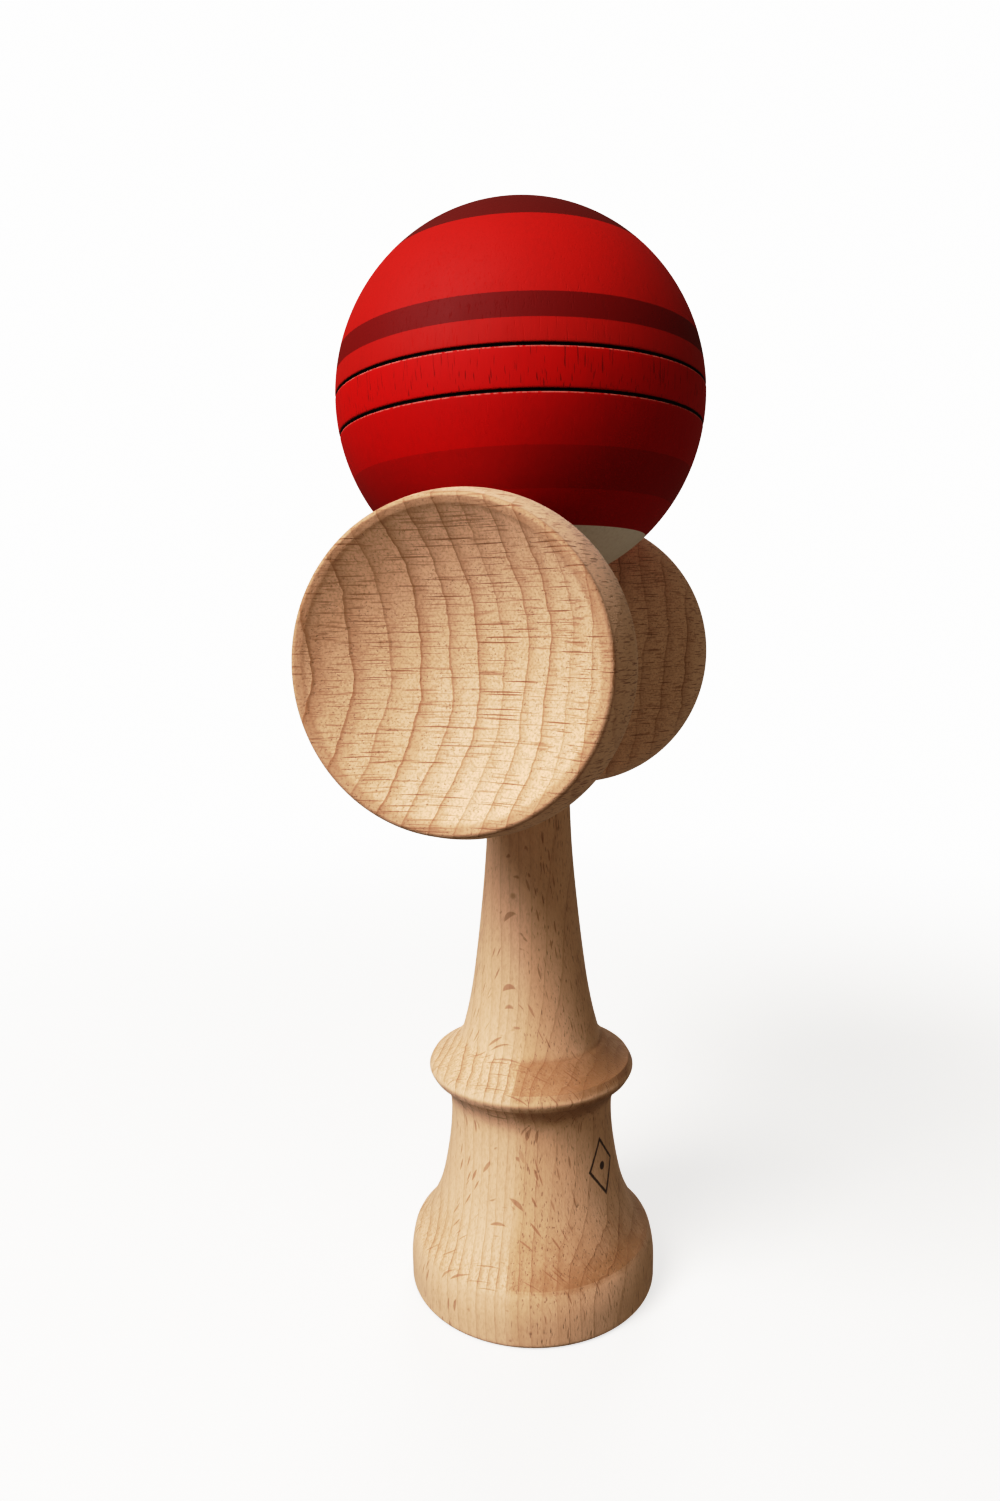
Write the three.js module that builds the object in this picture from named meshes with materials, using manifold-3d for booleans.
// Kendama: a turned beech ken (handle and spike), a turned beech crosspiece with two cups (the sarado),
// and a drilled, grooved ball (the tama) resting on the spike.
// Millimetres, +Z up the ken, +X towards the big cup, origin on the ken's axis at the foot of the base cup.
import * as THREE from "three";
import { mergeVertices } from "three/addons/utils/BufferGeometryUtils.js";
import Module from "manifold-3d";

const wasm = await Module();
wasm.setup();

// ---- Driving dimensions ------------------------------------------------------------------------

const FACETS = 48; // flats round each turned piece
const FIT_GAP = 0.3; // air between pieces that touch
const STRING_HOLE = 1.3; // radius of every hole that the string passes through
const CUP_SPHERE = 32; // radius of the ball-end cutter that dishes all three cups

const base = { radius: 21.8, arrisRadius: 20.8, height: 9.5, land: 2.6, edge: 0.9 };
const neck = { radius: 14.2, height: 31.8 };
const collar = { radius: 18, arrisRadius: 17.3, height: 39.7, band: 2.9 };
const stem = { footRadius: 11.9, footRise: 5.05, slimRadius: 7.55, slimDrop: 17 };
const taper = { radius: 6.5, slope: 0.0235, overrun: 4.8 };
const spike = { length: 32, tipRadius: 2.5, shoulderRadius: 4.6 };

const sarado = { height: 111, halfLength: 38.8, waist: 12.2, edge: 0.7, land: 1.3 };
const bigCup = { rimRadius: 25, wallRadius: 26, wallPlace: 7.5 };
const smallCup = { rimRadius: 23.2, wallRadius: 24.4, wallPlace: 9 };

const tama = { radius: 30, holeRadius: 11, bevel: 1.6, endRoom: 6 };
const tamaRest = { lean: 1.85, leanTowards: 44, shiftX: -0.3, shiftY: 0.8 }; // degrees, and sideways play
const groove = { heights: [0.6, -5.3], width: 0.7, depth: 0.45 };

// ---- Outline helpers: every outline is a list of [radius, height] points ------------------------

const DEGREE = Math.PI / 180;

// Points on a circle about [r, z], from one angle to another, ends included.
function arc([r, z], radius, from, to, steps) {
  return Array.from({ length: steps + 1 }, (_, i) => {
    const angle = (from + ((to - from) * i) / steps) * DEGREE;
    return [r + radius * Math.cos(angle), z + radius * Math.sin(angle)];
  });
}

// A smooth curve through a few points, ends included.
function flow(points, steps) {
  const curve = new THREE.SplineCurve(points.map(([r, z]) => new THREE.Vector2(r, z)));
  return curve.getPoints(steps).map((p) => [p.x, p.y]);
}

// Half of a spherical dish, from its deepest point on the axis to its mouth. side is +1 if it is cut
// upwards into a lower face, and -1 if it is cut downwards into an upper one.
function dish(mouthRadius, mouthHeight, side, steps) {
  const centre = mouthHeight - side * Math.sqrt(CUP_SPHERE ** 2 - mouthRadius ** 2);
  const mouthAngle = Math.asin(mouthRadius / CUP_SPHERE);
  return Array.from({ length: steps + 1 }, (_, i) => {
    const angle = (mouthAngle * i) / steps;
    return [CUP_SPHERE * Math.sin(angle), centre + side * CUP_SPHERE * Math.cos(angle)];
  });
}

// ---- Solids ------------------------------------------------------------------------------------

function solidFrom(geometry) {
  const bare = geometry.clone();
  bare.deleteAttribute("normal");
  bare.deleteAttribute("uv");
  const merged = mergeVertices(bare, 1e-5);
  const mesh = new wasm.Mesh({
    numProp: 3,
    vertProperties: new Float32Array(merged.getAttribute("position").array),
    triVerts: new Uint32Array(merged.getIndex().array),
  });
  return new wasm.Manifold(mesh);
}

function geometryFrom(solid) {
  const { vertProperties, triVerts } = solid.getMesh();
  const geometry = new THREE.BufferGeometry();
  geometry.setAttribute("position", new THREE.BufferAttribute(vertProperties, 3));
  geometry.setIndex(new THREE.BufferAttribute(triVerts, 1));
  geometry.computeVertexNormals();
  return geometry;
}

// An outline turned about +Z. It starts and ends on the axis, or closes on itself.
function turned(outline) {
  const points = outline.map(([r, z]) => new THREE.Vector2(r, z));
  return new THREE.LatheGeometry(points, FACETS).rotateX(Math.PI / 2);
}

// The drill that makes the string holes: a cylinder along Y through the sarado's centre.
function stringDrill() {
  const drill = new THREE.CylinderGeometry(STRING_HOLE, STRING_HOLE, 4 * sarado.waist, 16);
  return solidFrom(drill.translate(0, 0, sarado.height));
}

// ---- Ken: base cup, neck, collar, stem, taper and spike, turned from one blank -------------------

// The straight taper that the sarado seats on runs a little past its waist at both ends.
const taperLow = sarado.height - sarado.waist - taper.overrun;
const taperHigh = sarado.height + sarado.waist + taper.overrun;
const taperRadius = (z) => taper.radius - taper.slope * (z - sarado.height);
const spikeTip = taperHigh + spike.length;

function kenOutline() {
  const mouth = base.radius - base.edge - base.land;
  const collarLow = collar.height - collar.band / 2;
  const collarHigh = collar.height + collar.band / 2;
  const flare = neck.height - base.height;
  const sweep = base.arrisRadius - neck.radius;
  const footHeight = collarHigh + stem.footRise;
  const slimHeight = taperLow - stem.slimDrop;
  const tip = spike.tipRadius;
  return [
    ...dish(mouth, 0, 1, 5),
    ...arc([base.radius - base.edge, base.edge], base.edge, -90, 0, 3),
    [base.radius, 0.55 * base.height],
    [(base.radius + base.arrisRadius) / 2, base.height - 1.2],
    ...flow(
      [
        [base.arrisRadius, base.height],
        [neck.radius + 0.65 * sweep, base.height + 0.13 * flare],
        [neck.radius + 0.3 * sweep, base.height + 0.37 * flare],
        [neck.radius + 0.07 * sweep, base.height + 0.72 * flare],
        [neck.radius, neck.height],
        [neck.radius + 0.5, collarLow - 3.2],
        [collar.arrisRadius - 0.8, collarLow - 0.5],
      ],
      12,
    ),
    [collar.arrisRadius, collarLow],
    [collar.radius, collar.height],
    [collar.arrisRadius, collarHigh],
    ...flow(
      [
        [collar.arrisRadius - 1.4, collarHigh + 0.8],
        [stem.footRadius + 1.6, footHeight - 2.3],
        [stem.footRadius, footHeight],
        [stem.slimRadius + 2.2, footHeight + 0.34 * (slimHeight - footHeight)],
        [stem.slimRadius, slimHeight],
        [taperRadius(taperLow), taperLow],
      ],
      10,
    ),
    [taperRadius(taperHigh), taperHigh],
    ...flow(
      [
        [spike.shoulderRadius, taperHigh + 0.6 * spike.length],
        [tip + 0.3, spikeTip - 2 * tip],
        [tip, spikeTip - tip],
      ],
      4,
    ),
    ...arc([0, spikeTip - tip], tip, 20, 90, 3).map(([r, z]) => [Math.abs(r) < 1e-6 ? 0 : r, z]),
  ];
}

function makeKen() {
  return geometryFrom(solidFrom(turned(kenOutline())).subtract(stringDrill()));
}

// ---- Sarado: the crosspiece, turned about its own axis -------------------------------------------

// Half of the outside, as [distance from the waist, radius], from the waist to the rim's outer edge.
// The wall is widest at wallPlace from the rim, and draws in a little from there to the rim.
function cupFlank(cup) {
  const wide = sarado.halfLength - cup.wallPlace;
  const swell = cup.wallRadius - sarado.waist;
  const rimEdge = [sarado.halfLength - sarado.edge, cup.rimRadius - sarado.edge];
  return [
    ...flow(
      [
        [0, sarado.waist],
        [0.26 * wide, sarado.waist + 0.04 * swell],
        [0.455 * wide, sarado.waist + 0.18 * swell],
        [0.585 * wide, sarado.waist + 0.35 * swell],
        [0.715 * wide, sarado.waist + 0.615 * swell],
        [0.845 * wide, sarado.waist + 0.88 * swell],
        [wide, cup.wallRadius],
        [wide + 0.5 * cup.wallPlace, cup.wallRadius - 0.22 * (cup.wallRadius - cup.rimRadius)],
        [sarado.halfLength - sarado.edge, cup.rimRadius],
      ],
      12,
    ),
    ...arc(rimEdge, sarado.edge, 45, 0, 1),
  ];
}

// One end's outline, from the deepest point of its dish to its waist, as [radius, place along the axis].
function cupOutline(cup) {
  const rim = cup.rimRadius - sarado.edge - sarado.land;
  const flank = cupFlank(cup).map(([along, radius]) => [radius, along]);
  return [...dish(rim, sarado.halfLength, -1, 6), ...flank.reverse()];
}

function saradoOutline() {
  const small = cupOutline(smallCup).map(([r, along]) => [r, -along]);
  const big = cupOutline(bigCup).reverse();
  return [...small, ...big.slice(1)];
}

// The tapered bore that seats the sarado on the ken, FIT_GAP larger all round.
function boreCutter() {
  const low = sarado.height - 2 * sarado.waist;
  const high = sarado.height + 2 * sarado.waist;
  const wide = taperRadius(low) + FIT_GAP;
  const narrow = taperRadius(high) + FIT_GAP;
  return solidFrom(turned([[0, low], [wide, low], [narrow, high], [0, high]]));
}

function makeSarado() {
  const body = turned(saradoOutline()).rotateY(Math.PI / 2).translate(0, 0, sarado.height);
  return geometryFrom(solidFrom(body).subtract(boreCutter()).subtract(stringDrill()));
}

// ---- Tama: the ball, drilled for the spike and grooved -------------------------------------------

// An open outline with extra points along each of its straight runs.
function finer(outline, parts) {
  return outline.slice(1).flatMap(([r, z], i) => {
    const [r0, z0] = outline[i];
    const between = (k) => [r0 + ((r - r0) * k) / parts, z0 + ((z - z0) * k) / parts];
    return Array.from({ length: parts }, (_, k) => between(k));
  });
}

// How high the tama's centre stands when it rests on the sarado's flanks, FIT_GAP above them.
function tamaSeat() {
  const mouth = tama.holeRadius + tama.bevel / 2;
  const reach = (cup, side) =>
    finer(cupFlank(cup), 10)
      .map(([along, radius]) => [Math.abs(side * along - tamaRest.shiftX), radius])
      .filter(([away]) => away > mouth && away < tama.radius)
      .map(([away, radius]) => radius + Math.sqrt(tama.radius ** 2 - away ** 2));
  return sarado.height + Math.max(...reach(bigCup, 1), ...reach(smallCup, -1)) + FIT_GAP;
}

const tamaCentre = tamaSeat();

// The ball's outside, from the mouth of the big hole up to the string hole, with its V grooves.
function ballOutside() {
  const angleAt = (height) => Math.asin(height / tama.radius) / DEGREE;
  const ball = (from, to, steps) => arc([0, 0], tama.radius, from, to, steps);
  const mouth = -Math.acos((tama.holeRadius + tama.bevel) / tama.radius) / DEGREE;
  const top = Math.acos(STRING_HOLE / tama.radius) / DEGREE;
  const outside = [];
  let from = mouth;
  for (const height of [...groove.heights].sort((a, b) => a - b)) {
    outside.push(...ball(from, angleAt(height - groove.width / 2), Math.ceil(Math.abs(from) / 8)));
    const bottom = Math.sqrt(tama.radius ** 2 - height ** 2) - groove.depth;
    outside.push([bottom, height]);
    from = angleAt(height + groove.width / 2);
  }
  return [...outside, ...ball(from, top, 10)];
}

function tamaOutline() {
  const holeTop = spikeTip + tama.endRoom - tamaCentre;
  const mouthRadius = tama.holeRadius + tama.bevel;
  const mouthHeight = -Math.sqrt(tama.radius ** 2 - mouthRadius ** 2);
  const outline = [
    [STRING_HOLE, holeTop],
    [tama.holeRadius, holeTop],
    [tama.holeRadius, mouthHeight + tama.bevel],
    ...ballOutside(),
  ];
  return [...outline, outline[0]];
}

// ---- Assembly ------------------------------------------------------------------------------------

const beech = { color: 0xdcb78c, roughness: 0.62, metalness: 0 };
const lacquer = { color: 0xb4120e, roughness: 0.42, metalness: 0 };

function piece(name, geometry, finish) {
  const mesh = new THREE.Mesh(geometry, new THREE.MeshStandardMaterial(finish));
  mesh.name = name;
  return mesh;
}

const ken = piece("ken", makeKen(), beech);
const crosspiece = piece("sarado", makeSarado(), beech);
const ball = piece("tama", turned(tamaOutline()), lacquer);

const leanDirection = tamaRest.leanTowards * DEGREE;
const leanAxis = new THREE.Vector3(-Math.sin(leanDirection), Math.cos(leanDirection), 0);
ball.setRotationFromAxisAngle(leanAxis, tamaRest.lean * DEGREE);
ball.position.set(tamaRest.shiftX, tamaRest.shiftY, tamaCentre);

const group = new THREE.Group();
group.add(ken, crosspiece, ball);

export default group;
